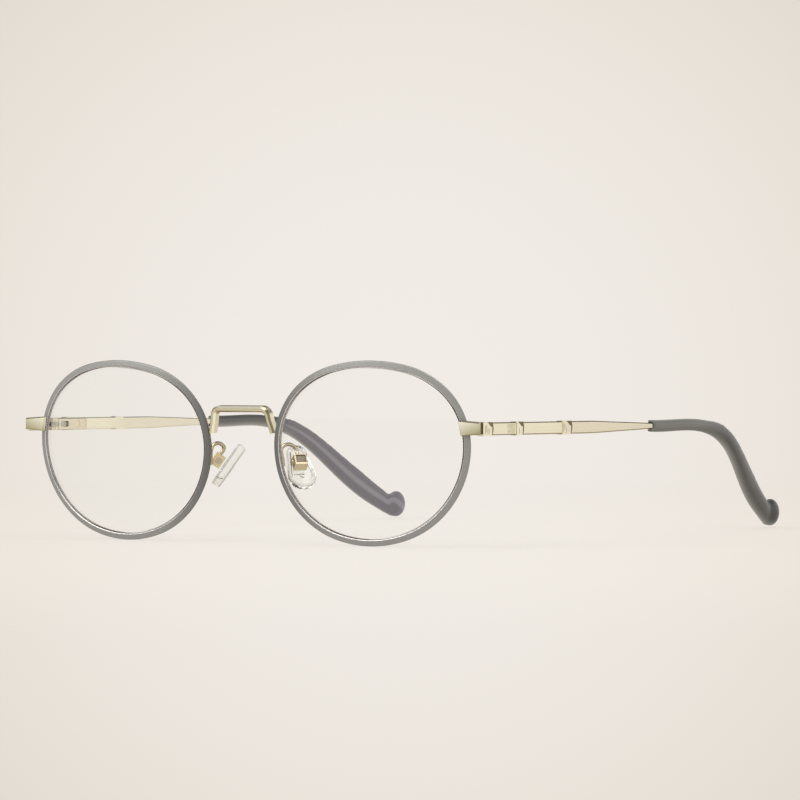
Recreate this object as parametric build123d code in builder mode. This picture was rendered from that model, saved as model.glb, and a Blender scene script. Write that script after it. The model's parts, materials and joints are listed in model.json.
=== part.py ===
from build123d import *
from math import atan, cos, degrees, pi, radians, sin, sqrt, tan
import os

# Oval metal eyeglasses, temples open, standing on the rims and the temple tips.
# Millimetres, +Z up, the front faces -Y, and the wearer's left side is +X.
# Every left piece is drawn once, and the right one is its mirror image.

# Rims and lenses
rim_width = 51.56
rim_gap = 17.7
rim_height = 40.9
rim_wall = 1.5
rim_depth = 1.75
rim_front_rounding = 0.3
rim_back_rounding = 0.15
rim_taper = 0.85
rim_taper_start = 0.4
rim_split = 0.12
oval_lobe_shares = (0.0111, 0.0175, -0.0091)
oval_spans = 8
front_curve_radius = 132.0
wrap_angle = 3.0
lean_angle = 2.8
groove_depth = 0.5
groove_width = 0.6
lens_thickness = 1.4
lens_recess = 0.2
lens_gap = 0.08
lens_edge_gap = 0.2

# Bridge bar
bridge_rise = 5.3
bridge_leg_spread = 1.25
bridge_foot_spread = 0.75
bridge_height = 1.35
bridge_depth = 2.1
bridge_corner_radius = 1.7
bridge_knee_radius = 3.0
bridge_facet = 0.4
bridge_tilt = 8.0
bridge_foot_height = 4.0
bridge_foot_reach = 0.35
bridge_forward = 0.2

# Temple line, shared by the endpieces, hinges and temples
endpiece_reach = 3.29
temple_height = 5.25
temple_slope = 0.48
hinge_clearance = 3.46
hinge_inset = 4.8
butt_reach = 3.9
butt_gap = 0.05

# Endpiece
endpiece_front = 5.0
endpiece_plate = 1.5
endpiece_side = 0.35
endpiece_neck = 0.45
endpiece_inner_top = 1.8
endpiece_inner_bottom = 1.5
endpiece_outer_top = 1.45
endpiece_outer_bottom = 1.15
endpiece_start = -1.05
endpiece_slant = 0.7
endpiece_step = 3.1
endpiece_rounding = 0.3

# Closing block of the rim
block_height = 2.4
block_back = 1.8
block_outer = 3.0
block_inner = 4.3
block_split = 0.1
closing_screw_inset = 0.9
closing_screw_radius = 0.45
closing_head_radius = 0.68
closing_head_height = 0.4

# Hinge
hinge_height = 2.7
knuckle_radius = 1.2
middle_knuckle_height = 1.0
knuckle_gap = 0.05
pin_radius = 0.5
pin_gap = 0.03
fork_plate = 0.45
fork_start = 0.9
fork_slot_reach = 5.0
hinge_head_radius = 0.9
hinge_head_height = 0.4
screw_slot_width = 0.22
screw_slot_depth = 0.2

# Spring slider and its housing
housing_start = 1.55
housing_length = 11.0
housing_inner = 0.6
housing_height = 2.7
housing_rounding = 0.35
housing_wall = 0.35
tongue_gap = 0.1
tongue_side = 0.1
rod_margin = 0.75
slider_rest_gap = 0.2
spring_seat_gap = 0.01
slider_width = 1.5
slider_height = 1.0
slider_length = 4.6
slider_gap = 0.05
slider_wall = 0.6
rod_radius = 0.28
spring_room_radius = 0.75
spring_outer_radius = 0.62
spring_wire_radius = 0.1
spring_length = 4.2
spring_turns = 9
stop_radius = 0.6
stop_length = 0.6
window_length = 3.0
window_height = 1.3
dimple_radius = 0.85
dimple_depth = 0.12
dimple_spots = (9.3, 11.5)

# Temple bar
bar_inner = 3.3
bar_outer = 4.8
bar_thickness = 1.5
bar_overlap = 0.6
bar_height = 2.75
bar_rounding = 0.35
bar_flat_end = 38.5
bar_end_height = 1.3
bar_end_thickness = 1.2
knot_starts = (-3.85, 8.4, 26.0)
knot_lengths = (3.4, 2.6, 3.5)
knot_swell = 0.12
knot_bevel = 0.3
knot_groove_width = 0.35
knot_groove_depth = 0.22
knot_facet_length = 1.3
knot_facet_depth = 0.5
rib_start = 5.5
rib_count = 7
rib_pitch = 0.43
rib_width = 0.2
rib_depth = 0.12
rib_height = 2.0
core_radius = 0.5
core_end_share = 0.9

# Temple tip
tip_start = 61.6
tip_corner = 91.6
tip_bend_radius = 38.0
tip_inward = 8.35
bulb_back = 126.0
bulb_radius = 3.6
bulb_half_thickness = 1.55
bulb_edge_radius = 0.9
bulb_offset = 1.5
bulb_lead = 1.0
bulb_outward = 0.2
tip_station_shares = (0.0, 0.12, 0.32, 0.5, 0.66, 0.84, 1.0)
tip_widths = (2.7, 2.8, 2.9, 3.7, 4.7, 5.4, 4.4)
tip_drops = (0.0, 0.0, 0.0, 0.25, 0.7, 0.85, 0.1)
tip_thicknesses = (2.0, 2.1, 2.2, 2.2, 2.2, 2.2, 2.2)
mouth_radius = 0.95

# Nose pads
pad_inset = 1.21
pad_back = 6.0
pad_drop = 4.0
pad_splay = 38.0
pad_flare = 35.0
pad_lower_radius = 3.15
pad_upper_radius = 2.3
pad_circle_distance = 5.6
pad_lift = 0.75
pad_lower_shift = -0.7
pad_upper_shift = -0.25
pad_thickness = 2.3
pad_rounding = 0.9
insert_width = 2.4
insert_length = 3.4
insert_thickness = 0.6
lug_width = 1.1
lug_radius = 0.8
pad_pivot_depth = 2.5
pad_screw_radius = 0.35
pad_head_radius = 0.7
pad_head_height = 0.45
pad_screw_tail = 0.35
box_width = 2.9
box_length = 2.9
box_wall = 0.5
box_gap = 0.35
box_slot_width = 1.3
box_slot_length = 2.1
box_rounding = 0.25
box_floor = 0.95
box_pocket_width = 2.3
box_pocket_length = 2.1
box_pocket_rise = 0.1
box_pocket_depth = 0.3
screw_seat_gap = 0.02
arm_radius = 0.42
arm_sink = 0.1
arm_foot_turn = 11.0
arm_leave_turn = 0.0
arm_end_shift = 0.45
arm_apex_across = -0.9
arm_apex_back = -1.25
arm_apex_up = 2.5
arm_drop = 1.4

overrun = 1.0

half_spacing = (rim_gap + rim_width) / 2
frame_width = rim_gap + 2 * rim_width + 2 * endpiece_reach
hinge_x = frame_width / 2 - hinge_inset
pad_across = rim_gap / 2 + pad_inset
wrap = radians(wrap_angle)
mean_sag = (rim_width**2 + rim_height**2) / 16 / front_curve_radius
side_depth = rim_width / 2 * sin(wrap) + rim_width**2 / 8 / front_curve_radius - mean_sag
hinge_back = side_depth - rim_depth / 2 + hinge_clearance
overall_depth = hinge_back + bulb_back + bulb_radius + bridge_depth
rim_y = bridge_depth - overall_depth / 2


def oval_point(turn, inset):
    """A point of the rim's outline at one turn about its centre, moved inwards by the inset."""
    second, third, fourth = oval_lobe_shares
    swell = 1 + second * sin(2 * turn) + third * sin(3 * turn) + fourth * cos(4 * turn)
    growth = 2 * second * cos(2 * turn) + 3 * third * cos(3 * turn) - 4 * fourth * sin(4 * turn)
    run = rim_width / 2 * (cos(turn) * growth - sin(turn) * swell)
    rise = rim_height / 2 * (sin(turn) * growth + cos(turn) * swell)
    forward = Vector(run, rise).normalized()
    across = rim_width / 2 * cos(turn) * swell - inset * forward.Y
    up = rim_height / 2 * sin(turn) * swell + inset * forward.X
    return Vector(across, up), forward


def arc_middle(start, corner, end):
    """The middle of the arc that leaves start and reaches end along the two lines to the corner."""
    half_chord = (end - start) / 2
    towards = corner - start - half_chord
    angle = atan(towards.length / half_chord.length)
    return start + half_chord + towards.normalized() * half_chord.length * tan(angle / 2)


def oval_arcs(inset):
    """The outline as tangent arcs, two to a span, each given by its start, middle and end."""
    arcs = []
    for step in range(oval_spans):
        start, leaving = oval_point(2 * pi * step / oval_spans, inset)
        end, arriving = oval_point(2 * pi * (step + 1) / oval_spans, inset)
        chord = end - start
        both = leaving + arriving
        square = both.dot(both) - 4
        along = chord.dot(both)
        reach = (along - sqrt(along**2 - square * chord.dot(chord))) / square
        first_corner = start + leaving * reach
        second_corner = end - arriving * reach
        joint = (first_corner + second_corner) / 2
        arcs.append((start, arc_middle(start, first_corner, joint), joint))
        arcs.append((joint, arc_middle(joint, second_corner, end), end))
    return arcs


lean = radians(lean_angle)
lowest = oval_point(3 * pi / 2, 0)[0].Y
rim_z = -lowest * cos(lean) - lowest**2 / (2 * front_curve_radius) * sin(lean)
lens_plane = Plane(
    origin=(half_spacing, rim_y - mean_sag - rim_depth / 2, rim_z),
    x_dir=(cos(wrap), sin(wrap), 0),
    z_dir=(sin(wrap) * cos(lean), -cos(wrap) * cos(lean), -sin(lean)),
)
curve_centre = lens_plane.from_local_coords(Vector(0, 0, -front_curve_radius))


def on_curve(flat, depth):
    """Where a point of the flat outline lies on the lens curve, at a depth behind its front."""
    rise = sqrt((front_curve_radius - depth)**2 - flat.dot(flat))
    return lens_plane.from_local_coords(Vector(flat.X, flat.Y, rise - front_curve_radius))


def rim_spot(angle, inset, depth):
    """A place on the left rim: angle from its outer side, inset from its edge, depth from its front."""
    return on_curve(oval_point(radians(angle), inset)[0], depth)


slope = radians(temple_slope)
hinge_z = rim_z + temple_height
temple_plane = Plane(
    origin=(hinge_x, rim_y + hinge_back, hinge_z),
    x_dir=(1, 0, 0),
    z_dir=(0, sin(slope), cos(slope)),
)


def temple_spot(across, back, up):
    """A place in the left temple's own frame, whose origin is on the hinge axis."""
    return temple_plane.from_local_coords(Vector(across, back, up))


def side_plane(across):
    """Plane seen from the side: first axis back along the temple, second axis up."""
    return Plane(origin=temple_spot(across, 0, 0), x_dir=temple_plane.y_dir, z_dir=temple_plane.x_dir)


def cross_plane(back):
    """Plane square to the temple, seen from the front: first axis outwards, second axis up."""
    return Plane(origin=temple_spot(0, back, 0), x_dir=temple_plane.x_dir, z_dir=-temple_plane.y_dir)


def write_pair(piece, name):
    """Write the left piece, and its mirror image as the right one."""
    with BuildPart() as twin:
        mirror(piece.part, about=Plane.YZ)
    for side, solid in (("left", piece.part), ("right", twin.part)):
        solid.label = f"{side}_{name}"
        export_step(solid, f"parts/{side}_{name}.step")


os.makedirs("parts", exist_ok=True)


groove_front = (rim_depth - groove_width) / 2


# Rims and lenses
def curved_slab(inset, front, thickness):
    """A plate with the oval outline, inset, between two spheres that follow the lens curve."""
    with BuildPart() as slab:
        with BuildSketch(lens_plane.offset(2 * overrun)):
            with BuildLine():
                for arc in oval_arcs(inset):
                    ThreePointArc(*((place.X, place.Y) for place in arc))
            make_face()
        extrude(amount=-rim_width / 4)
        with Locations(curve_centre):
            Sphere(front_curve_radius - front, mode=Mode.INTERSECT)
            Sphere(front_curve_radius - front - thickness, mode=Mode.SUBTRACT)
    return slab.part


with BuildPart() as plain_ring:
    add(curved_slab(0, 0, rim_depth))
    lens_axis = Axis(lens_plane.origin, lens_plane.z_dir)
    back_side = plain_ring.faces().filter_by(GeomType.SPHERE).sort_by(lens_axis)[0]
    chamfer(back_side.edges(), length=rim_taper, length2=rim_depth - rim_taper_start, reference=back_side)
    add(curved_slab(rim_wall, -overrun, rim_depth + 2 * overrun), mode=Mode.SUBTRACT)

with BuildPart() as left_rim:
    add(plain_ring.part)
    front_face = left_rim.faces().filter_by(GeomType.SPHERE).sort_by(SortBy.AREA)[-1]
    fillet(front_face.edges(), radius=rim_front_rounding)
    back_face = left_rim.faces().filter_by(GeomType.SPHERE).sort_by(SortBy.AREA)[0]
    fillet(back_face.edges(), radius=rim_back_rounding)
    add(curved_slab(rim_wall - groove_depth, groove_front, groove_width), mode=Mode.SUBTRACT)
    with Locations(Plane(lens_plane.from_local_coords(Vector(rim_width / 2, temple_height, 0)),
                         x_dir=lens_plane.x_dir, z_dir=lens_plane.z_dir)):
        Box(rim_width / 4, rim_split, rim_width / 4, mode=Mode.SUBTRACT)
write_pair(left_rim, "rim")

with BuildPart() as left_lens:
    add(curved_slab(rim_wall + lens_edge_gap, lens_recess, lens_thickness))
    add(curved_slab(rim_wall - groove_depth + lens_gap, groove_front + lens_gap,
                    groove_width - 2 * lens_gap))
write_pair(left_lens, "lens")

# Bridge bar, cut flush where its feet are soldered to the rims
foot = rim_spot(180, 0, rim_depth / 2)
foot_x = foot.X - bridge_foot_reach
top_x = foot_x - bridge_leg_spread
bridge_plane = Plane(
    origin=(0, foot.Y - bridge_forward, rim_z + bridge_foot_height),
    x_dir=(1, 0, 0),
    z_dir=(0, -cos(radians(bridge_tilt)), -sin(radians(bridge_tilt))),
)
with BuildLine(bridge_plane) as bridge_path:
    FilletPolyline(
        (-foot_x, 0),
        (-foot_x + bridge_foot_spread, bridge_rise / 2),
        (-top_x, bridge_rise),
        (top_x, bridge_rise),
        (foot_x - bridge_foot_spread, bridge_rise / 2),
        (foot_x, 0),
        radius=(bridge_knee_radius, bridge_corner_radius, bridge_corner_radius, bridge_knee_radius),
    )
with BuildPart() as bridge:
    start_plane = Plane(
        origin=bridge_path.line @ 0, x_dir=bridge_plane.z_dir, z_dir=bridge_path.line % 0
    )
    with BuildSketch(start_plane):
        section = Rectangle(bridge_depth, bridge_height)
        chamfer(section.vertices(), length=bridge_facet)
    sweep(path=bridge_path.line)
    add(plain_ring.part, mode=Mode.SUBTRACT)
    add(mirror(plain_ring.part, about=Plane.YZ), mode=Mode.SUBTRACT)
bridge.part.label = "bridge"
export_step(bridge.part, "parts/bridge.step")

# Endpiece, soldered to the rim and wrapping back to meet the temple
rear_edge = -(endpiece_front - endpiece_plate)
with BuildPart() as left_endpiece:
    with BuildSketch(temple_plane.offset(-endpiece_inner_top)):
        with BuildLine():
            Polyline(
                (endpiece_start, -endpiece_front),
                (hinge_inset, -endpiece_front),
                (hinge_inset, -endpiece_front + endpiece_side),
                (hinge_inset - endpiece_neck, -endpiece_front + endpiece_side),
                (hinge_inset - endpiece_neck, -butt_reach),
                (endpiece_step, -butt_reach),
                (endpiece_step, rear_edge),
                (endpiece_start, rear_edge),
                close=True,
            )
        make_face()
    extrude(amount=2 * endpiece_inner_top)
    with BuildSketch(cross_plane(-endpiece_front)):
        with BuildLine():
            Polyline(
                (endpiece_start + endpiece_slant, -endpiece_inner_bottom),
                (hinge_inset, -endpiece_outer_bottom),
                (hinge_inset, endpiece_outer_top),
                (endpiece_start, endpiece_inner_top),
                close=True,
            )
        make_face()
    extrude(amount=-endpiece_front, mode=Mode.INTERSECT)
    fillet(left_endpiece.faces().sort_by(Axis.Y)[0].edges(), radius=endpiece_rounding)
    add(plain_ring.part, mode=Mode.SUBTRACT)
write_pair(left_endpiece, "endpiece")

# Closing block: two halves, one on each side of the rim's split, and the screw that joins them
block_start = hinge_inset - block_inner
block_depth = -rear_edge - block_back
screw_spot = (block_outer - closing_screw_inset, rear_edge + block_depth / 2)


def closing_half(low, high):
    """One half of the closing block, between two heights, cut flush where it meets the rim."""
    with BuildPart() as half:
        with BuildSketch(temple_plane.offset(low)):
            with BuildLine():
                Polyline(
                    (block_start, rear_edge),
                    (block_outer, rear_edge),
                    (block_outer, -block_back),
                    (block_start, -block_back),
                    close=True,
                )
            make_face()
            with Locations(screw_spot):
                Circle(closing_screw_radius + pin_gap, mode=Mode.SUBTRACT)
        extrude(amount=high - low)
        add(plain_ring.part, mode=Mode.SUBTRACT)
    return half.part


with BuildPart() as left_closing_block_upper:
    add(closing_half(block_split / 2, block_height / 2))
write_pair(left_closing_block_upper, "closing_block_upper")

with BuildPart() as left_closing_block_lower:
    add(closing_half(-block_height / 2, -block_split / 2))
    with BuildSketch(temple_plane.offset(-block_height / 2)):
        with Locations(screw_spot):
            Circle(closing_head_radius + pin_gap)
    extrude(amount=closing_head_height, mode=Mode.SUBTRACT)
write_pair(left_closing_block_lower, "closing_block_lower")

with BuildPart() as left_closing_screw:
    with BuildSketch(temple_plane.offset(-block_height / 2)):
        with Locations(screw_spot):
            Circle(closing_screw_radius)
    extrude(amount=block_height)
    with BuildSketch(temple_plane.offset(-block_height / 2)):
        with Locations(screw_spot):
            Circle(closing_head_radius)
    extrude(amount=closing_head_height)
    with BuildSketch(temple_plane.offset(-block_height / 2)):
        with Locations(screw_spot):
            Rectangle(2 * closing_head_radius, screw_slot_width)
    extrude(amount=screw_slot_depth, mode=Mode.SUBTRACT)
write_pair(left_closing_screw, "closing_screw")

# Front hinge leaf: a plate on the closing block with two knuckles
knuckle_low = middle_knuckle_height / 2 + knuckle_gap
with BuildPart() as left_hinge_fork:
    with BuildSketch(temple_plane.offset(-hinge_height / 2)):
        Circle(knuckle_radius)
        with BuildLine():
            Polyline(
                (fork_start, -block_back),
                (block_outer, -block_back),
                (block_outer, -block_back + fork_plate),
                (knuckle_radius * cos(pi / 6), knuckle_radius * sin(pi / 6)),
                (-knuckle_radius * cos(pi / 3), -knuckle_radius * sin(pi / 3)),
                close=True,
            )
        make_face()
        Circle(pin_radius + pin_gap, mode=Mode.SUBTRACT)
    extrude(amount=hinge_height)
    with BuildSketch(temple_plane.offset(-knuckle_low)):
        with Locations((0, fork_slot_reach / 2 - block_back + fork_plate)):
            Rectangle(3 * block_outer, fork_slot_reach)
    extrude(amount=2 * knuckle_low, mode=Mode.SUBTRACT)
    with BuildSketch(temple_plane.offset(hinge_height / 2 - hinge_head_height)):
        Circle(hinge_head_radius + pin_gap)
    extrude(amount=hinge_head_height, mode=Mode.SUBTRACT)
write_pair(left_hinge_fork, "hinge_fork")

with BuildPart() as left_hinge_screw:
    with BuildSketch(temple_plane.offset(-hinge_height / 2)):
        Circle(pin_radius)
    extrude(amount=hinge_height)
    with BuildSketch(temple_plane.offset(hinge_height / 2 - hinge_head_height)):
        Circle(hinge_head_radius)
    extrude(amount=hinge_head_height)
    with BuildSketch(temple_plane.offset(hinge_height / 2)):
        Rectangle(2 * hinge_head_radius, screw_slot_width)
    extrude(amount=-screw_slot_depth, mode=Mode.SUBTRACT)
write_pair(left_hinge_screw, "hinge_screw")

# Spring slider: the temple's knuckle, its bar and the rod that draws the spring together
slider_x = housing_inner + slider_wall + slider_width / 2
slider_front = housing_start - tongue_gap
slider_end = slider_front + slider_length
rod_end = housing_start + housing_length - rod_margin
with BuildPart() as left_hinge_slider:
    with BuildSketch(temple_plane.offset(-middle_knuckle_height / 2)):
        Circle(knuckle_radius)
        with BuildLine():
            Polyline(
                (-knuckle_radius / 2, knuckle_radius * sin(pi / 3)),
                (knuckle_radius * cos(pi / 6), -knuckle_radius / 2),
                (slider_x + slider_width / 2, tongue_side),
                (slider_x + slider_width / 2, slider_front),
                (-knuckle_radius / 2, slider_front),
                close=True,
            )
        make_face()
        with Locations((slider_x, slider_front + slider_length / 2)):
            Rectangle(slider_width, slider_length)
        Circle(pin_radius + pin_gap, mode=Mode.SUBTRACT)
    extrude(amount=middle_knuckle_height)
    with BuildSketch(cross_plane(slider_end)):
        with Locations((slider_x, 0)):
            Circle(rod_radius)
    extrude(amount=slider_end - rod_end)
write_pair(left_hinge_slider, "hinge_slider")

stop_start = rod_end - stop_length
with BuildPart() as left_spring_stop:
    with BuildSketch(cross_plane(stop_start)):
        with Locations((slider_x, 0)):
            Circle(stop_radius)
            Circle(rod_radius, mode=Mode.SUBTRACT)
    extrude(amount=-stop_length)
write_pair(left_spring_stop, "spring_stop")

# Housing let into the temple's inner face
housing_end = housing_start + housing_length
partition_start = slider_end + slider_rest_gap
room_start = stop_start - spring_length
with BuildPart() as left_spring_housing:
    with BuildSketch(cross_plane(housing_start)):
        with Locations(((housing_inner + bar_inner) / 2, 0)):
            Rectangle(bar_inner - housing_inner, housing_height)
    extrude(amount=-housing_length)
    inner_face = left_spring_housing.faces().sort_by(Axis.X)[0]
    fillet(inner_face.edges(), radius=housing_rounding)
    with BuildSketch(cross_plane(housing_start)):
        with Locations((slider_x, 0)):
            Rectangle(slider_width + 2 * slider_gap, slider_height + 2 * slider_gap)
    extrude(amount=housing_start - partition_start, mode=Mode.SUBTRACT)
    with BuildSketch(cross_plane(partition_start)):
        with Locations((slider_x, 0)):
            Circle(rod_radius + slider_gap)
    extrude(amount=partition_start - room_start, mode=Mode.SUBTRACT)
    with BuildSketch(cross_plane(room_start)):
        with Locations((slider_x, 0)):
            Circle(spring_room_radius)
    extrude(amount=room_start - housing_end + housing_wall, mode=Mode.SUBTRACT)
    with BuildSketch(side_plane(housing_inner)):
        with Locations((partition_start - window_length / 2, 0)):
            SlotOverall(window_length, window_height)
    extrude(amount=slider_wall, mode=Mode.SUBTRACT)
    with BuildSketch(side_plane(housing_inner)):
        with Locations(*((back, 0) for back in dimple_spots)):
            Circle(dimple_radius)
    extrude(amount=dimple_depth, mode=Mode.SUBTRACT)
write_pair(left_spring_housing, "spring_housing")

with BuildPart() as left_hinge_spring:
    coil_radius = spring_outer_radius - spring_wire_radius
    coil_length = spring_length - 2 * spring_wire_radius - 2 * spring_seat_gap
    coil_start = temple_spot(slider_x, stop_start - spring_wire_radius - spring_seat_gap, 0)
    with BuildLine() as coil:
        Helix(coil_length / spring_turns, coil_length, coil_radius, center=coil_start,
              direction=-temple_plane.y_dir)
    with BuildSketch(Plane(origin=coil.line @ 0, z_dir=coil.line % 0)):
        Circle(spring_wire_radius)
    sweep(path=coil.line, is_frenet=True)
write_pair(left_hinge_spring, "hinge_spring")

# Temple tip line, straight and then bent down and inwards in one flat turn
bulb_up = (bulb_radius - hinge_z + bulb_back * sin(slope)) / cos(slope)
bar_x = (bar_inner + bar_outer) / 2
line_start = temple_spot(bar_x, tip_start, 0)
line_corner = temple_spot(bar_x, tip_corner, 0)
line_end = temple_spot(bar_x - tip_inward, bulb_back - bulb_lead, bulb_up - bulb_offset)
first_way = (line_corner - line_start).normalized()
second_way = (line_end - line_corner).normalized()
half_turn = radians(first_way.get_angle(second_way)) / 2
bend_reach = tip_bend_radius * tan(half_turn)
bend_start = line_corner - first_way * bend_reach
bend_end = line_corner + second_way * bend_reach
bend_inward = (second_way - first_way).normalized()
bend_middle = line_corner + bend_inward * (tip_bend_radius / cos(half_turn) - tip_bend_radius)
with BuildLine() as tip_line:
    Line(line_start, bend_start)
    ThreePointArc(bend_start, bend_middle, bend_end)
    Line(bend_end, line_end)
tip_path = tip_line.wires()[0]


def tip_section(share):
    """Plane square to the tip line at a share of its length: first axis outwards."""
    return Plane(origin=tip_path @ share, x_dir=(1, 0, 0), z_dir=tip_path % share)


with BuildLine() as core_line:
    Line(line_start, bend_start)
    ThreePointArc(bend_start, bend_middle, bend_end)
    Line(bend_end, bend_end + (line_end - bend_end) * core_end_share)


def core_wire():
    """The bar's thin end that runs inside the tip."""
    with BuildPart() as core:
        with BuildSketch(Plane(origin=line_start, x_dir=(1, 0, 0), z_dir=first_way)):
            Circle(core_radius)
        sweep(path=core_line.line)
    return core.part


# Temple bar with its bamboo knots, ribbed band and core wire
with BuildPart() as left_temple_bar:
    with BuildSketch(cross_plane(butt_gap - butt_reach)):
        with Locations((bar_x, 0)):
            RectangleRounded(bar_thickness, bar_height, bar_rounding)
    extrude(amount=butt_gap - butt_reach - bar_flat_end)
    with BuildSketch(cross_plane(bar_flat_end)):
        with Locations((bar_x, 0)):
            RectangleRounded(bar_thickness, bar_height, bar_rounding)
    with BuildSketch(cross_plane(tip_start + bar_overlap)):
        with Locations((bar_x, 0)):
            RectangleRounded(bar_end_thickness, bar_end_height, bar_rounding)
    loft()
    for start, length in zip(knot_starts, knot_lengths):
        with BuildSketch(side_plane(bar_inner)):
            with BuildLine():
                Polyline(
                    (start, -bar_height / 2),
                    (start + knot_bevel, -bar_height / 2 - knot_swell),
                    (start + length, -bar_height / 2 - knot_swell),
                    (start + length, bar_height / 2 - knot_facet_depth),
                    (start + length - knot_facet_length, bar_height / 2 + knot_swell),
                    (start + knot_bevel, bar_height / 2 + knot_swell),
                    (start, bar_height / 2),
                    close=True,
                )
            make_face()
        extrude(amount=bar_thickness + knot_swell)
        with BuildSketch(cross_plane(start + length)):
            with Locations((bar_outer, 0)):
                Rectangle(2 * knot_groove_depth, 2 * bar_height)
        extrude(amount=-knot_groove_width, mode=Mode.SUBTRACT)
    for step in range(rib_count):
        with BuildSketch(side_plane(bar_outer - rib_depth)):
            with Locations((rib_start + step * rib_pitch, 0)):
                Rectangle(rib_width, rib_height)
        extrude(amount=overrun, mode=Mode.SUBTRACT)
    add(core_wire())
write_pair(left_temple_bar, "temple_bar")

# Temple tip: a ribbon that grows along the line, and a bulb at its end
with BuildPart() as left_temple_tip:
    for share, width, drop, thickness in zip(tip_station_shares, tip_widths, tip_drops, tip_thicknesses):
        with BuildSketch(tip_section(share)):
            with Locations((0, drop)):
                Ellipse(thickness / 2, width / 2)
    loft()
    bulb_centre = temple_spot(bar_x - tip_inward + bulb_outward, bulb_back, bulb_up)
    inner_reach = bulb_radius - bulb_edge_radius
    inner_half = bulb_half_thickness - bulb_edge_radius
    face_centre = (inner_reach**2 - inner_half**2) / (2 * inner_half)
    face_turn = degrees(atan(inner_reach / face_centre))
    with BuildSketch(Plane(origin=bulb_centre, x_dir=(1, 0, 0), z_dir=(0, -1, 0))):
        with BuildLine():
            near_face = JernArc((-bulb_half_thickness, 0), (0, 1), face_centre + bulb_half_thickness,
                                -face_turn)
            edge_turn = JernArc(near_face @ 1, near_face % 1, bulb_edge_radius, 2 * face_turn - 180)
            JernArc(edge_turn @ 1, edge_turn % 1, face_centre + bulb_half_thickness, -face_turn)
            Line((bulb_half_thickness, 0), (-bulb_half_thickness, 0))
        make_face()
    revolve(axis=Axis(bulb_centre, (1, 0, 0)))
    with BuildSketch(side_plane(bar_inner)):
        with Locations((tip_start, 0)):
            Circle(mouth_radius)
    extrude(amount=2 * bar_height, both=True, mode=Mode.SUBTRACT)
    add(core_wire(), mode=Mode.SUBTRACT)
write_pair(left_temple_tip, "temple_tip")

# Nose pads, each on its own plane: first axis level, second axis up along the pad, third axis
# out of the face that rests on the nose
splay = radians(pad_splay)
flare = radians(pad_flare)
pad_plane = Plane(
    origin=(pad_across, rim_y + pad_back, rim_z - pad_drop),
    x_dir=(-sin(splay), -cos(splay), 0),
    z_dir=(-cos(splay) * cos(flare), sin(splay) * cos(flare), -sin(flare)),
)
pivot_plane = Plane(
    origin=pad_plane.from_local_coords(Vector(0, 0, -pad_pivot_depth)),
    x_dir=pad_plane.y_dir,
    z_dir=pad_plane.x_dir,
)
with BuildPart() as left_pad_insert:
    with BuildSketch(pad_plane.offset(-insert_thickness / 2)):
        Rectangle(insert_width, insert_length)
    extrude(amount=insert_thickness)
    with BuildSketch(pivot_plane.offset(-lug_width / 2)):
        Circle(lug_radius)
        with Locations((0, pad_pivot_depth / 2)):
            Rectangle(2 * lug_radius, pad_pivot_depth)
        Circle(pad_screw_radius + pin_gap, mode=Mode.SUBTRACT)
    extrude(amount=lug_width)
write_pair(left_pad_insert, "pad_insert")

with BuildPart() as left_nose_pad:
    with BuildSketch(pad_plane.offset(-pad_thickness / 2)):
        with Locations((pad_lower_shift, pad_lift - pad_circle_distance / 2)):
            Circle(pad_lower_radius)
        with Locations((pad_upper_shift, pad_lift + pad_circle_distance / 2)):
            Circle(pad_upper_radius)
        make_hull()
    extrude(amount=pad_thickness)
    fillet(left_nose_pad.edges(), radius=pad_rounding)
    add(left_pad_insert.part, mode=Mode.SUBTRACT)
write_pair(left_nose_pad, "nose_pad")

# Pad box: an open channel behind the pad, with the screw across it
box_front = -pad_thickness / 2 - box_gap
box_back = -pad_pivot_depth - box_floor
with BuildPart() as left_pad_box:
    with BuildSketch(pad_plane.offset(box_back - box_wall)):
        Rectangle(box_width, box_length)
    extrude(amount=box_front - box_back + box_wall)
    back_face = left_pad_box.faces().filter_by(Plane(pad_plane.origin, z_dir=pad_plane.z_dir))
    fillet(back_face.sort_by(Axis(pad_plane.origin, pad_plane.z_dir))[0].edges(), radius=box_rounding)
    with BuildSketch(pad_plane.offset(box_back)):
        Rectangle(box_slot_width, box_slot_length)
    extrude(amount=box_front - box_back, mode=Mode.SUBTRACT)
    with BuildSketch(pad_plane.offset(box_back - box_wall)):
        with Locations((0, box_pocket_rise)):
            Rectangle(box_pocket_width, box_pocket_length)
    extrude(amount=box_pocket_depth, mode=Mode.SUBTRACT)
    with BuildSketch(pivot_plane.offset(-box_width / 2)):
        Circle(pad_screw_radius + screw_seat_gap)
    extrude(amount=box_width, mode=Mode.SUBTRACT)
write_pair(left_pad_box, "pad_box")

with BuildPart() as left_pad_screw:
    with BuildSketch(pivot_plane.offset(-box_width / 2 - pad_screw_tail)):
        Circle(pad_screw_radius)
    extrude(amount=box_width + pad_screw_tail)
    with BuildSketch(pivot_plane.offset(box_width / 2)):
        Circle(pad_head_radius)
    extrude(amount=pad_head_height)
    with BuildSketch(pivot_plane.offset(box_width / 2 + pad_head_height)):
        Rectangle(2 * pad_head_radius, screw_slot_width)
    extrude(amount=-screw_slot_depth, mode=Mode.SUBTRACT)
write_pair(left_pad_screw, "pad_screw")

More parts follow.
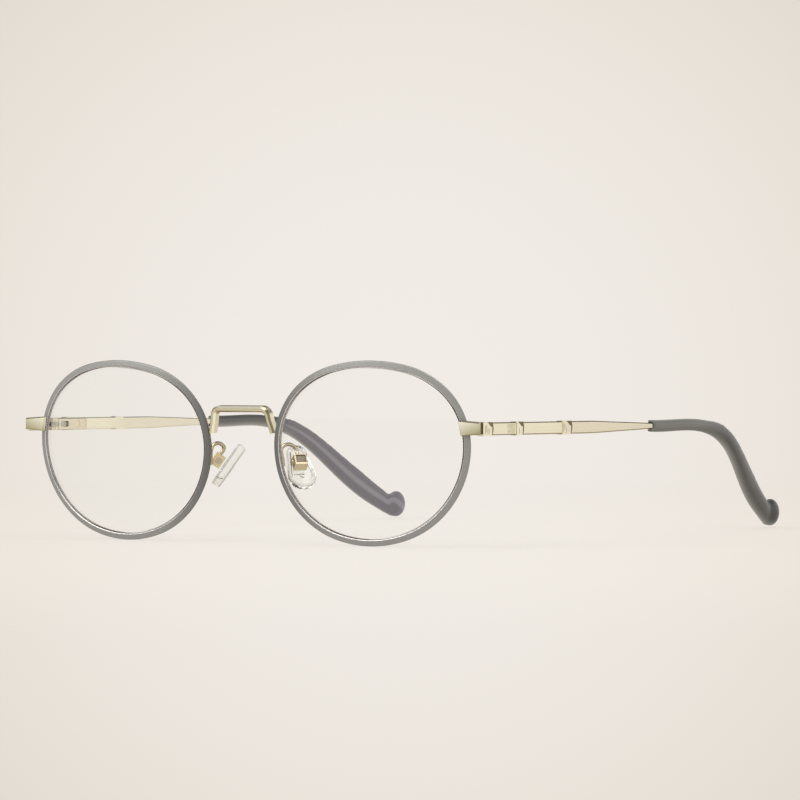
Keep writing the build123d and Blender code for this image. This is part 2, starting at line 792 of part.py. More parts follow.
# Pad arm: a wire soldered along the rim's back that climbs, turns back and drops to the box
arm_depth = rim_depth + arm_radius - arm_sink
back_middle = (rim_taper + rim_wall) / 2
arm_foot = rim_spot(180 + arm_foot_turn, back_middle, arm_depth)
arm_leave = rim_spot(180 - arm_leave_turn, back_middle, arm_depth)
box_top = pad_plane.from_local_coords(
    Vector(arm_end_shift, box_length / 2 - arm_sink, box_back + arm_radius)
)
over_box = box_top + pad_plane.y_dir * arm_drop
with BuildPart() as left_pad_arm:
    with BuildLine() as arm_line:
        Spline(
            arm_foot,
            (arm_foot + arm_leave) / 2,
            arm_leave,
            box_top + Vector(arm_apex_across, arm_apex_back, arm_apex_up),
            over_box,
            box_top,
            tangents=((arm_leave - arm_foot).normalized(), -pad_plane.y_dir),
        )
    with BuildSketch(Plane(origin=arm_line.line @ 0, z_dir=arm_line.line % 0)):
        Circle(arm_radius)
    sweep(path=arm_line.line)
    add(plain_ring.part, mode=Mode.SUBTRACT)
    add(left_pad_box.part, mode=Mode.SUBTRACT)
write_pair(left_pad_arm, "pad_arm")
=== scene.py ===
import json
import math

import bmesh
import bpy
from mathutils import Matrix, Vector


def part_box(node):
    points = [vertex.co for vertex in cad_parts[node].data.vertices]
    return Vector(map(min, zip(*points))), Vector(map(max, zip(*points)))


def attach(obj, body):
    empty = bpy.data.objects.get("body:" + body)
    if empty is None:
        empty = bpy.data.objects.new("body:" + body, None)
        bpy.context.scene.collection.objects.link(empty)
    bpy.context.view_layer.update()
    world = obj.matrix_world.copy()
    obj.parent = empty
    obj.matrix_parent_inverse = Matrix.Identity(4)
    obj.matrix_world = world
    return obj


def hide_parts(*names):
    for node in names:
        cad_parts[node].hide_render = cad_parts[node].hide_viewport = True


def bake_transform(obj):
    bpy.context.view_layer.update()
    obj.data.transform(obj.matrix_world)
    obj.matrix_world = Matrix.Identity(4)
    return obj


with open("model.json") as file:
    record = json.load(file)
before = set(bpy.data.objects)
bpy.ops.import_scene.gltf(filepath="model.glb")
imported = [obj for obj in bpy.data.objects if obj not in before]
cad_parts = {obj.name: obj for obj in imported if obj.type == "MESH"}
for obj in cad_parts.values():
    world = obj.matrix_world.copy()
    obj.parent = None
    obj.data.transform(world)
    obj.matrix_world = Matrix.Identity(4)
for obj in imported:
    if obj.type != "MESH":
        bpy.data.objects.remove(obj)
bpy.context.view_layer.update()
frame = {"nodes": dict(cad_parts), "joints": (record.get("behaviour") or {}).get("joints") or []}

nodes = frame["nodes"]
joints = {joint["name"]: joint for joint in frame["joints"]}
MM = 0.001
SIGNS = {"left": 1, "right": -1}

# The photograph's view
CAMERA_AZIMUTH = 36.2784
CAMERA_ELEVATION = 0.8932
CAMERA_ROLL = -0.2424
CAMERA_DISTANCE = 1.180723
CAMERA_TARGET = Vector((-0.0066264, 0.0005, 0.0306358))
CAMERA_LENS = 228.391
CAMERA_REACH = 20
turn, rise = math.radians(CAMERA_AZIMUTH), math.radians(CAMERA_ELEVATION)
AWAY = Vector((math.sin(turn) * math.cos(rise), -math.cos(turn) * math.cos(rise), math.sin(rise)))
CAMERA_PLACE = CAMERA_TARGET + AWAY * CAMERA_DISTANCE
CORNER_ANGLE = math.radians(6.39)

# Colours, as linear red, green and blue
BACKGROUND = (0.84, 0.80, 0.745)
BACKGROUND_LIGHT = (0.88, 0.84, 0.79)
BACKGROUND_CORNER = (0.775, 0.715, 0.645)
PALE_GOLD = (0.86, 0.80, 0.62)
BRIDGE_SHADED_GOLD = (0.68, 0.64, 0.46)
SIDE_LIGHT_GOLD = (0.80, 0.76, 0.55)
ENDPIECE_PALE = (0.86, 0.84, 0.67)
ENDPIECE_SHADE = (0.42, 0.39, 0.235)
BAR_GOLD = (0.93, 0.88, 0.71)
BAR_HIGHLIGHT = (1.0, 0.965, 0.77)
HIGHLIGHT_GOLD = (0.95, 0.91, 0.76)
EDGE_SHADE_AND_SCREW_GOLD = (0.52, 0.46, 0.35)
GROOVE_SHADE_GOLD = (0.26, 0.22, 0.14)
ARM_SHADED_GOLD = (0.56, 0.48, 0.35)
BOX_SHADED_GOLD = (0.68, 0.58, 0.36)
POCKET_SHADE = (0.17, 0.13, 0.10)
RIB_HIGHLIGHT = (0.78, 0.72, 0.55)
TOP_SHADE_PAINT = (0.15, 0.13, 0.08)
RIM_GREY = (0.29, 0.29, 0.28)
RIM_SHADE = (0.13, 0.13, 0.125)
BARE_SILVER = (0.62, 0.60, 0.60)
STEEL = (0.55, 0.54, 0.50)
LENS_EDGE = (0.74, 0.73, 0.72)
CLEAR = (0.985, 0.99, 0.985)
PAD_CLEAR = (0.975, 0.98, 0.97)
PAD_REFLECTION_LINE = (0.50, 0.51, 0.51)
TIP_GREY = (0.190, 0.187, 0.175)
TIP_DARK = (0.042, 0.042, 0.038)
TIP_PALE = (0.30, 0.30, 0.28)
TIP_VIOLET = (0.142, 0.130, 0.160)
MIDDLE_LINE_VIOLET = (0.24, 0.225, 0.26)
EDGE_TINT = (0.30, 0.26, 0.20)
ARM_EDGE_TINT = (0.05, 0.04, 0.03)
LAMP_COLOUR = (1.0, 0.985, 0.96)
SOFT_COLOUR = (1.0, 0.98, 0.95)

# Where the painted light and shade change, in metres in the row frame, and along which directions
ENDPIECE_INNER, ENDPIECE_OUTER = 0.0579, 0.0637
ENDPIECE_BOTTOM, ENDPIECE_TOP = 0.0243, 0.0276
TONE_ACROSS, TONE_DOWN = 0.35, 1.0
NOSE_SHADE_START, NOSE_SHADE_END = 0.009, 0.024
HIGHLIGHT_START = joints["left_temple_fold"]["pos_m"][1] + 0.022
HIGHLIGHT_FADE = 0.008
SLANT_START, SLANT_FULL = 0.020, 0.034
SLANT_UNDER = (0, -0.56, -0.83)

# How fine the materials' noise is
NOISE_LOW, NOISE_HIGH = 0.3, 0.7
BROADER = 12
FINE_DETAIL, BROAD_DETAIL = 6, 3
METAL_SHADE, METAL_FULL = 0.2, 0.5
BRUSH_SCALE, BRUSH_DETAIL = 3200, 4
BRUSH_STRETCH = (1, 0.02, 1)
BRUSH_FULL = 0.6
PAINT_SCALE = 900
PAINT_SHADE = 0.95
PEEL_SCALE, PEEL_DETAIL = 1500, 4
RELIEF_DETAIL = 2


# Materials
def new_material(name):
    """A material with an empty node tree but for a Principled shader and an output."""
    material = bpy.data.materials.new(name)
    material.use_nodes = True
    tree = material.node_tree
    tree.nodes.clear()
    shader = tree.nodes.new("ShaderNodeBsdfPrincipled")
    output = tree.nodes.new("ShaderNodeOutputMaterial")
    tree.links.new(shader.outputs["BSDF"], output.inputs["Surface"])
    return material, tree, shader


def set_inputs(node, values):
    """Gives a node's inputs fixed values, by name."""
    for name, value in values.items():
        node.inputs[name].default_value = value


def frame_place(tree, axis=None):
    """The place in the row frame, or one axis of it, whatever a mesh's own layout is."""
    place = tree.nodes.new("ShaderNodeTexCoord").outputs["Object"]
    return place if axis is None else axis_of(tree, place, axis)


def axis_of(tree, vector, axis):
    """One axis of a vector."""
    split = tree.nodes.new("ShaderNodeSeparateXYZ")
    tree.links.new(vector, split.inputs["Vector"])
    return split.outputs[axis]


def vector_math(tree, operation, first, second=None):
    """A vector operation on a linked value and, where it takes one, on a second, linked or fixed one."""
    node = tree.nodes.new("ShaderNodeVectorMath")
    node.operation = operation
    tree.links.new(first, node.inputs[0])
    if isinstance(second, bpy.types.NodeSocket):
        tree.links.new(second, node.inputs[1])
    elif second is not None:
        node.inputs[1].default_value = second
    return node.outputs["Value" if operation in ("DOT_PRODUCT", "LENGTH") else "Vector"]


def rescale(tree, value, low, high, to_low=0, to_high=1):
    """Maps one range of a value to another, and holds it at the ends."""
    node = tree.nodes.new("ShaderNodeMapRange")
    set_inputs(node, {"From Min": low, "From Max": high, "To Min": to_low, "To Max": to_high})
    tree.links.new(value, node.inputs["Value"])
    return node.outputs["Result"]


def noise(tree, scale, detail, stretch=(1, 1, 1)):
    """Noise over the row frame."""
    mapping = tree.nodes.new("ShaderNodeMapping")
    set_inputs(mapping, {"Scale": stretch})
    texture = tree.nodes.new("ShaderNodeTexNoise")
    set_inputs(texture, {"Scale": scale, "Detail": detail})
    tree.links.new(frame_place(tree), mapping.inputs["Vector"])
    tree.links.new(mapping.outputs["Vector"], texture.inputs["Vector"])
    return texture.outputs["Fac"]


def bands(tree, factor, stops):
    """A ramp of colours over a factor, given as places and colours."""
    node = tree.nodes.new("ShaderNodeValToRGB")
    last = len(stops) - 1
    for index, (at, colour) in enumerate(stops):
        spots = node.color_ramp.elements
        spot = spots[0] if index == 0 else spots[-1] if index == last else spots.new(at)
        spot.position = at
        spot.color = (*colour, 1)
    tree.links.new(factor, node.inputs["Fac"])
    return node.outputs["Color"]


def ramp(tree, factor, low, high, low_at=0.0, high_at=1.0):
    """A two-colour ramp over a factor."""
    return bands(tree, factor, ((low_at, low), (high_at, high)))


def spread(tree, factor, low, high):
    """Maps a noise factor to a range of numbers."""
    return rescale(tree, factor, NOISE_LOW, NOISE_HIGH, low, high)


def darker(colour, share):
    """A colour at a share of its brightness."""
    return tuple(part * share for part in colour)


def metal(name, colour, deepest, smooth, rough, grain, edge=EDGE_TINT):
    """A metal whose colour and roughness vary a little, and that darkens towards its edges."""
    material, tree, shader = new_material(name)
    broad = noise(tree, grain / BROADER, BROAD_DETAIL)
    colours = ramp(tree, broad, darker(colour, deepest), colour, METAL_SHADE, METAL_FULL)
    tree.links.new(colours, shader.inputs["Base Color"])
    fine = noise(tree, grain, FINE_DETAIL)
    tree.links.new(spread(tree, fine, smooth, rough), shader.inputs["Roughness"])
    set_inputs(shader, {"Metallic": 1.0, "Specular Tint": (*edge, 1)})
    return material


def satin(name, colour, roughness):
    """A plain, slightly uneven surface that isn't metal."""
    material, tree, shader = new_material(name)
    broad = noise(tree, PAINT_SCALE, BROAD_DETAIL)
    colours = ramp(tree, broad, darker(colour, PAINT_SHADE), colour, NOISE_LOW, NOISE_HIGH)
    tree.links.new(colours, shader.inputs["Base Color"])
    set_inputs(shader, {"Roughness": roughness})
    return material


def brushed(name, front, rear, low):
    """Plated metal with fine brush marks along Y, paler at the front than behind: a painted highlight."""
    material, tree, shader = new_material(name)
    marks = noise(tree, BRUSH_SCALE, BRUSH_DETAIL, BRUSH_STRETCH)
    along = rescale(tree, frame_place(tree, "Y"), HIGHLIGHT_START, HIGHLIGHT_START + HIGHLIGHT_FADE)
    shades = ramp(tree, marks, (low, low, low), (1, 1, 1), NOISE_LOW, BRUSH_FULL)
    tone = vector_math(tree, "MULTIPLY", ramp(tree, along, front, rear), shades)
    tree.links.new(tone, shader.inputs["Base Color"])
    tree.links.new(spread(tree, marks, 0.26, 0.2), shader.inputs["Roughness"])
    set_inputs(shader, {"Metallic": 1.0, "Specular Tint": (*EDGE_TINT, 1)})
    return material


def toned(name, pale, deep):
    """Plated metal with painted light and shade: pale inwards and up, deeper outwards and down, over the
    endpieces' reach.
    """
    material, tree, shader = new_material(name)
    both_sides = vector_math(tree, "ABSOLUTE", frame_place(tree))
    tone = vector_math(tree, "DOT_PRODUCT", both_sides, (TONE_ACROSS, 0, -TONE_DOWN))
    start = TONE_ACROSS * ENDPIECE_INNER - TONE_DOWN * ENDPIECE_TOP
    end = TONE_ACROSS * ENDPIECE_OUTER - TONE_DOWN * ENDPIECE_BOTTOM
    colours = ramp(tree, rescale(tree, tone, start, end), pale, deep, 0.15, 0.85)
    tree.links.new(colours, shader.inputs["Base Color"])
    set_inputs(shader, {"Roughness": 0.24, "Metallic": 1.0, "Specular Tint": (*EDGE_TINT, 1)})
    return material


def lacquer(name):
    """Grey lacquer over metal: satin, with a thin clear coat and fine orange peel."""
    material, tree, shader = new_material(name)
    # Painted shade: the lacquer darkens towards the nose.
    across = axis_of(tree, vector_math(tree, "ABSOLUTE", frame_place(tree)), "X")
    tone = rescale(tree, across, NOSE_SHADE_START, NOSE_SHADE_END)
    tree.links.new(ramp(tree, tone, RIM_SHADE, RIM_GREY), shader.inputs["Base Color"])
    peel = noise(tree, PEEL_SCALE, PEEL_DETAIL)
    tree.links.new(spread(tree, peel, 0.36, 0.38), shader.inputs["Roughness"])
    set_inputs(shader, {"Metallic": 0.35, "Coat Weight": 0.25, "Coat Roughness": 0.2})
    return material


def clear_plastic(name, colour, roughness, index, grain, relief):
    """A clear solid, with faint moulded relief whose depth is in metres."""
    material, tree, shader = new_material(name)
    bump = tree.nodes.new("ShaderNodeBump")
    set_inputs(bump, {"Strength": 0.3, "Distance": relief})
    tree.links.new(noise(tree, grain, RELIEF_DETAIL), bump.inputs["Height"])
    tree.links.new(bump.outputs["Normal"], shader.inputs["Normal"])
    set_inputs(shader, {"Base Color": (*colour, 1), "Roughness": roughness, "IOR": index,
                        "Transmission Weight": 1.0})
    return material


def colour_socket(sockets, name):
    """The colour socket of a name, among a mix node's sockets of several kinds."""
    return next(socket for socket in sockets if socket.name == name and socket.type == "RGBA")


def tip_plastic(name, straight, slant):
    """Dark plastic of a temple tip, with painted light and shade: its tone goes from the upper to the lower
    side on each run.
    """
    material, tree, shader = new_material(name)
    mix = tree.nodes.new("ShaderNodeMix")
    mix.data_type = "RGBA"
    tree.links.new(rescale(tree, frame_place(tree, "Y"), SLANT_START, SLANT_FULL), mix.inputs["Factor"])
    normal = tree.nodes.new("ShaderNodeTexCoord").outputs["Normal"]
    for stops, under, letter in ((straight, (0, 0, -1), "A"), (slant, SLANT_UNDER, "B")):
        facing = vector_math(tree, "DOT_PRODUCT", normal, under)
        colours = bands(tree, rescale(tree, facing, -1, 1), stops)
        tree.links.new(colours, colour_socket(mix.inputs, letter))
    tree.links.new(colour_socket(mix.outputs, "Result"), shader.inputs["Base Color"])
    set_inputs(shader, {"Roughness": 0.3, "Coat Weight": 0.2, "Coat Roughness": 0.12,
                        "Specular IOR Level": 0.25, "Transmission Weight": 0.05,
                        "Sheen Weight": 0.08, "Sheen Roughness": 0.35})
    return material


# Pale paint in the rib grooves: a painted highlight.
rib_highlight_paint = satin("rib_groove_painted_highlight", RIB_HIGHLIGHT, 0.4)
# Dark paint over the endpieces' tops: painted shade.
top_shade_paint = satin("top_edge_shadow_paint", TOP_SHADE_PAINT, 0.6)
# The bars are paler at the front: a painted highlight.
bar_gold = brushed("brushed_gold_plating", BAR_HIGHLIGHT, BAR_GOLD, 0.93)
# The endpieces' front: painted light and shade.
endpiece_front = toned("endpiece_shaded_plating", ENDPIECE_PALE, ENDPIECE_SHADE)

# Metals: the colour, its share in the darkest spots, the least and most roughness, the noise's scale
gold = metal("pale_gold_plating", PALE_GOLD, 0.97, 0.2, 0.25, 900)
# The bridge's plating is darker than the pale gold: painted shade.
bridge_shaded_gold = metal("bridge_plating_painted_shade", BRIDGE_SHADED_GOLD, 0.97, 0.22, 0.27, 900)
# Lighter plating on the bridge's sides that face right: painted light.
side_light_gold = metal("bridge_side_painted_light", SIDE_LIGHT_GOLD, 0.96, 0.2, 0.25, 900)
# Darker plating in grooves, on facets and on the endpieces' necks: painted shade.
groove_shade_gold = metal("groove_painted_shade", GROOVE_SHADE_GOLD, 0.8, 0.3, 0.4, 1200)
# Darker plating on edges and downward chamfers, painted shade; also the pad screws' colour.
edge_shade_and_screw_gold = metal("edge_painted_shade_and_screw", EDGE_SHADE_AND_SCREW_GOLD, 0.9, 0.25, 0.32, 1200)
# Brighter plating on the bridge's top and right facets: a painted highlight.
highlight_gold = metal("painted_highlight_facet", HIGHLIGHT_GOLD, 1.0, 0.15, 0.2, 900)
# The pad arms' plating is darker than the pale gold, painted shade, and its near-black edge tint darkens
# their edges.
arm_shaded_gold = metal("pad_arm_painted_shade", ARM_SHADED_GOLD, 0.9, 0.15, 0.22, 1200, ARM_EDGE_TINT)
# The pad boxes' plating is darker than the pale gold: painted shade.
box_shaded_gold = metal("pad_box_painted_shade", BOX_SHADED_GOLD, 0.9, 0.25, 0.32, 1200)
# Brown in the pad boxes' pockets: painted shade.
pocket_shade = metal("pad_box_pocket_painted_shade", POCKET_SHADE, 0.8, 0.35, 0.45, 1500)
silver = metal("bare_silver_metal", BARE_SILVER, 0.92, 0.24, 0.34, 900)
steel = metal("screw_steel", STEEL, 0.85, 0.15, 0.25, 1300)
lens_edge = metal("ground_lens_edge", LENS_EDGE, 1.0, 0.3, 0.4, 900)
rim_lacquer = lacquer("grey_rim_lacquer")

# Clear plastics: the colour, roughness, refraction, the noise's scale and the relief's depth
lens_clear = clear_plastic("clear_lens", CLEAR, 0.0, 1.5, 40, 0.0000002)
pad_silicone = clear_plastic("clear_silicone", PAD_CLEAR, 0.02, 1.34, 300, 0.000002)
# Grey silicone along the pads' edges: painted reflection lines.
pad_reflection_line = clear_plastic("silicone_painted_reflection_line", PAD_REFLECTION_LINE, 0.1, 1.34, 300, 0.000002)

# Tip plastics, with painted light and shade: colours from the upper side, at 0, to the lower side, at 1.
# The far slant also has a paler line where its faces turn neither up nor down.
near_straight = ((0, TIP_PALE), (0.2, TIP_GREY), (0.6, TIP_GREY), (1, TIP_DARK))
near_slant = ((0, TIP_GREY), (0.3, TIP_DARK), (0.6, TIP_DARK), (1, TIP_PALE))
far_straight = ((0, TIP_DARK), (0.5, darker(TIP_GREY, 0.7)), (1, darker(TIP_PALE, 1.3)))
far_slant = (
    (0, TIP_PALE), (0.15, TIP_VIOLET), (0.43, darker(TIP_VIOLET, 0.85)), (0.48, MIDDLE_LINE_VIOLET),
    (0.53, MIDDLE_LINE_VIOLET), (0.58, darker(TIP_VIOLET, 0.85)), (0.85, TIP_VIOLET), (1, TIP_PALE),
)
tip_materials = {
    "left": tip_plastic("grey_tip_plastic", near_straight, near_slant),
    "right": tip_plastic("violet_grey_tip_plastic", far_straight, far_slant),
}

MATERIALS = {
    "rim": rim_lacquer,
    "lens": lens_clear,
    "endpiece": endpiece_front,
    "closing_block_upper": gold,
    "closing_block_lower": gold,
    "closing_screw": steel,
    "hinge_fork": gold,
    "hinge_screw": steel,
    "hinge_slider": steel,
    "spring_stop": steel,
    "spring_housing": gold,
    "hinge_spring": steel,
    "temple_bar": bar_gold,
    "pad_arm": arm_shaded_gold,
    "pad_box": box_shaded_gold,
    "pad_screw": edge_shade_and_screw_gold,
    "pad_insert": pad_silicone,
    "nose_pad": pad_silicone,
}

SMOOTH_ANGLE = math.radians(24)


def dress(obj, material):
    """Gives an object its material, and smooth shading up to its sharp edges."""
    obj.data.materials.clear()
    obj.data.materials.append(material)
    obj.data.shade_smooth()
    obj.data.set_sharp_from_angle(angle=SMOOTH_ANGLE)


def paint(obj, material, chosen):
    """Gives one more material to the faces for which chosen(centre, normal) is true."""
    obj.data.materials.append(material)
    index = len(obj.data.materials) - 1
    for face in obj.data.polygons:
        if chosen(face.center, face.normal):
            face.material_index = index


for side in SIGNS:
    for name, material in MATERIALS.items():
        dress(nodes[f"{side}_{name}"], material)
    dress(nodes[f"{side}_temple_tip"], tip_materials[side])
dress(nodes["bridge"], bridge_shaded_gold)


def new_object(name, data):
    """An object in the scene, with a mesh, a lamp or a camera as its data."""
    obj = bpy.data.objects.new(name, data)
    bpy.context.scene.collection.objects.link(obj)
    return obj


def middle(name):
    """The middle of a CAD node's box."""
    low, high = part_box(name)
    return (Vector(low) + Vector(high)) / 2


# Places in the temples' own frames: across outwards, back along the temple, and up
def temple_frame(side):
    """The hinge's place, and the directions outwards, back and up of one temple."""
    joint = joints[f"{side}_temple_fold"]
    up = Vector(joint["axis"]) * SIGNS[side]
    out = Vector((SIGNS[side], 0, 0))
    back = Vector((0, up.z, -up.y))
    return Vector(joint["pos_m"]), out, back, up


def local_place(side):
    """A function that turns a place into millimetres across, back and up from the hinge."""
    origin, out, back, up = temple_frame(side)

    def place(spot):
        away = (spot - origin) / MM
        return away.dot(out), away.dot(back), away.dot(up)

    return place


# Temple bars: painted shade in the knots' grooves and facets and on the top and bottom edges, and a
# pale painted highlight in the ribbed band's grooves.
# Each knot is given by its start behind the hinge and its length.
KNOTS = ((-3.85, 3.4), (8.4, 2.6), (26.0, 3.5))
KNOT_FACET = 1.3
KNOT_GROOVE = 0.35
GROOVE_MARGIN = 0.01
GROOVE_TURN = 0.5
FACET_TURN = 0.2
EDGE_ACROSS = 4.2
EDGE_TURN = 0.3
BAR_END = 60.0
RIBS_START, RIBS_END = 5.3, 8.38
RIB_FLOOR, RIB_TOP = 4.6, 4.79


def paint_bar(side):
    """The painted shade and highlight on one temple bar."""
    place = local_place(side)
    _, _, back, up = temple_frame(side)

    def in_rib(spot, normal):
        """Whether a face is in the ribbed band's grooves."""
        across, behind, _ = place(spot)
        return RIBS_START < behind < RIBS_END and RIB_FLOOR < across < RIB_TOP

    def on_edge(spot, normal):
        """Whether a face is on the rounding along the bar's top or bottom."""
        across, behind, _ = place(spot)
        return behind < BAR_END and across > EDGE_ACROSS and abs(normal.dot(up)) > EDGE_TURN

    def in_groove(spot, normal):
        """Whether a face lies in the groove behind a knot, or on a knot's facet."""
        _, behind, _ = place(spot)
        for start, length in KNOTS:
            end = start + length
            groove = end + GROOVE_MARGIN < behind < end + KNOT_GROOVE - GROOVE_MARGIN
            if groove and abs(normal.dot(back)) < GROOVE_TURN:
                return True
            facet = normal.dot(back) > FACET_TURN and normal.dot(up) > FACET_TURN
            if facet and end - KNOT_FACET < behind < end + GROOVE_MARGIN:
                return True
        return False

    bar = nodes[f"{side}_temple_bar"]
    paint(bar, rib_highlight_paint, in_rib)
    paint(bar, edge_shade_and_screw_gold, on_edge)
    paint(bar, groove_shade_gold, in_groove)


for side in SIGNS:
    paint_bar(side)


# Bridge: painted highlights on the facets on top and towards the right, painted light on the sides
# that face right, and painted shade on the facets below and along the right leg
RIGHT_LEG = 0.005
CHAMFER_LEAST, CHAMFER_MOST = 0.3, 0.95
BRIGHT_TURN, BELOW_TURN, SIDE_TURN = 0.5, 0.6, 0.9


def paint_bridge():
    """The painted highlights, light and shade on the bridge's chamfers and right sides."""
    bridge = nodes["bridge"]

    def chamfer(normal):
        """Whether a face is one of the chamfers around the front."""
        return CHAMFER_LEAST < -normal.y < CHAMFER_MOST

    def bright(spot, normal):
        """Whether a face is a chamfer on top or to the right."""
        return chamfer(normal) and (normal.z > BRIGHT_TURN or normal.x > BRIGHT_TURN)

    def below(spot, normal):
        """Whether a face is a chamfer that looks down."""
        return chamfer(normal) and normal.z < -BELOW_TURN

    def beside_leg(spot, normal):
        """Whether a face is the right leg's chamfer to the right."""
        return spot.x > RIGHT_LEG and chamfer(normal) and normal.x > BRIGHT_TURN

    paint(bridge, highlight_gold, bright)
    paint(bridge, edge_shade_and_screw_gold, below)
    paint(bridge, side_light_gold, lambda spot, normal: normal.x > SIDE_TURN)
    paint(bridge, groove_shade_gold, beside_leg)


paint_bridge()


# Own pieces, built in a temple's or pad's frame and mirrored with it
def piece(name, spots, faces, material, body):
    """A new piece of the model that moves with a body."""
    mesh = bpy.data.meshes.new(name)
    mesh.from_pydata([tuple(spot) for spot in spots], [], faces)
    shape = bmesh.new()
    shape.from_mesh(mesh)
    bmesh.ops.recalc_face_normals(shape, faces=shape.faces)
    shape.to_mesh(mesh)
    shape.free()
    obj = new_object(name, mesh)
    dress(obj, material)
    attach(obj, body)
    return obj


def slab(outline, low, high):
    """Corners and faces of a plate: a flat outline between two heights."""
    count = len(outline)
    spots = [(x, y, low) for x, y in outline] + [(x, y, high) for x, y in outline]
    faces = [tuple(range(count)), tuple(range(count, 2 * count))]
    faces += [(i, (i + 1) % count, count + (i + 1) % count, count + i) for i in range(count)]
    return spots, faces


def join(parts):
    """Several lists of corners and faces as one."""
    spots, faces = [], []
    for more, loops in parts:
        faces += [tuple(index + len(spots) for index in loop) for loop in loops]
        spots += more
    return spots, faces


# Marks on the knots, dark strips and sheets of painted shade, in millimetres back, up and outwards.
# Each score is given by its place behind the knot's start, its lower and upper end, and its width.
KNOT_SCORES = (
    ((0.75, -1.1, 0.7, 0.16), (1.15, -0.7, 0.9, 0.2), (1.7, -1.2, 0.2, 0.16), (2.3, -0.9, 0.1, 0.16)),
    ((0.02, -1.3, 1.3, 0.26), (1.2, -1.1, 0.1, 0.16)),
    ((0.1, -1.2, 1.2, 0.18), (0.55, -0.9, 0.9, 0.16), (1.0, -0.4, 0.9, 0.14), (1.6, -1.2, 0.1, 0.14)),
)
KNOT_FACE = 4.92
KNOT_TOP = 1.49
KNOT_LEAF = ((-1.9, KNOT_TOP), (0, KNOT_TOP), (0.08, 0.55), (-0.3, 0.4), (-0.75, 0.7), (-1.25, 1.1))
MARK_PROUD = 0.03
MARK_DEEP = 0.12
RIDGE_PROUD = 0.05
RIDGE_BULGE = 0.4
RIDGE_WIDTH = 0.3
RIDGE_THIN = 0.25
RIDGE_LENGTH = 2.8
RIDGE_SHIFT = 0.05
RIDGE_MIDDLE, RIDGE_HALF = 0.1, 1.4
RIDGE_STEPS = 12


def knot_shade_marks(end):
    """The leaf-shaped dark sheet and the curved dark ridge at the rear of one knot, seen from outside:
    painted shade.
    """
    outer, inner = [], []
    for step in range(RIDGE_STEPS + 1):
        height = KNOT_TOP - RIDGE_LENGTH * step / RIDGE_STEPS
        share = 1 - ((height - RIDGE_MIDDLE) / RIDGE_HALF) ** 2
        rear = end - RIDGE_SHIFT + RIDGE_BULGE * share
        outer.append((rear, height))
        inner.append((rear - RIDGE_WIDTH * (RIDGE_THIN + (1 - RIDGE_THIN) * share), height))
    low = KNOT_FACE - MARK_DEEP
    leaf = slab([(end + x, y) for x, y in KNOT_LEAF], low, KNOT_FACE + MARK_PROUD)
    return [leaf, slab(outer + inner[::-1], low, KNOT_FACE + RIDGE_PROUD)]


def hatch(start, lines):
    """Fine upright scores across a knot, as dark strips over its face: painted shade in the scores."""
    low, high = KNOT_FACE - MARK_DEEP, KNOT_FACE + MARK_PROUD / 2
    return [slab([(start + x, a), (start + x + width, a), (start + x + width, b), (start + x, b)], low, high)
            for x, a, b, width in lines]


def set_marks(side, name, parts, material):
    """Places marks drawn as back, up and out of the temple."""
    origin, out, back, up = temple_frame(side)
    spots, faces = join(parts)
    spots = [origin + (back * x + up * y + out * z) * MM for x, y, z in spots]
    piece(name, spots, faces, material, f"{side}_temple")


for side in SIGNS:
    marks = [part for start, length in KNOTS for part in knot_shade_marks(start + length)]
    set_marks(side, f"{side}_knot_shade_marks", marks, groove_shade_gold)
    scores = [part for (start, _), lines in zip(KNOTS, KNOT_SCORES) for part in hatch(start, lines)]
    set_marks(side, f"{side}_knot_scores", scores, edge_shade_and_screw_gold)


# Endpieces: painted shade on the neck, and a dark line of painted shade along the top and its rounding
NECK_START = -4.7
NECK_ACROSS = 3.5
TOP_SHADE_TURN = 0.08


def paint_endpiece(side):
    """The painted shade on one endpiece."""
    place = local_place(side)
    *_, up = temple_frame(side)

    def on_neck(spot, normal):
        """Whether a face is on the neck behind the rim."""
        across, behind, _ = place(spot)
        return behind > NECK_START and across > NECK_ACROSS

    paint(nodes[f"{side}_endpiece"], groove_shade_gold, on_neck)
    paint(nodes[f"{side}_endpiece"], top_shade_paint, lambda spot, normal: normal.dot(up) > TOP_SHADE_TURN)


# Pad boxes: brown painted shade in the pocket in the back
PAD_SPLAY = math.radians(38.0)
PAD_FLARE = math.radians(35.0)
POCKET_EDGE, POCKET_DEEP, POCKET_END = 0.05, 0.25, 0.35
WALL_TURN, FLOOR_TURN = 0.3, 0.9


def pad_frame(side):
    """The directions along, up and out of the face of one pad."""
    sign = SIGNS[side]
    level = Vector((-sign * math.sin(PAD_SPLAY), -math.cos(PAD_SPLAY), 0))
    nose = Vector((-sign * math.cos(PAD_SPLAY) * math.cos(PAD_FLARE),
                   math.sin(PAD_SPLAY) * math.cos(PAD_FLARE), -math.sin(PAD_FLARE)))
    return level, sign * nose.cross(level), nose


def paint_box(side):
    """The painted shade in one pad box's pocket."""
    box = nodes[f"{side}_pad_box"]
    centre = middle(f"{side}_pad_box")
    *_, nose = pad_frame(side)
    back = min(vertex.co.dot(nose) for vertex in box.data.vertices)

    def in_pocket(spot, normal):
        """Whether a face is the floor or a wall of the pocket, and not on the box's outer sides."""
        depth = (spot.dot(nose) - back) / MM
        deep = POCKET_DEEP < depth < POCKET_END
        wall = POCKET_EDGE < depth < POCKET_END and abs(normal.dot(nose)) < WALL_TURN
        inwards = normal.dot(spot - centre) <= 0
        return (deep or wall) and inwards or deep and normal.dot(nose) < -FLOOR_TURN

    paint(box, pocket_shade, in_pocket)


for side in SIGNS:
    paint_endpiece(side)
    paint_box(side)


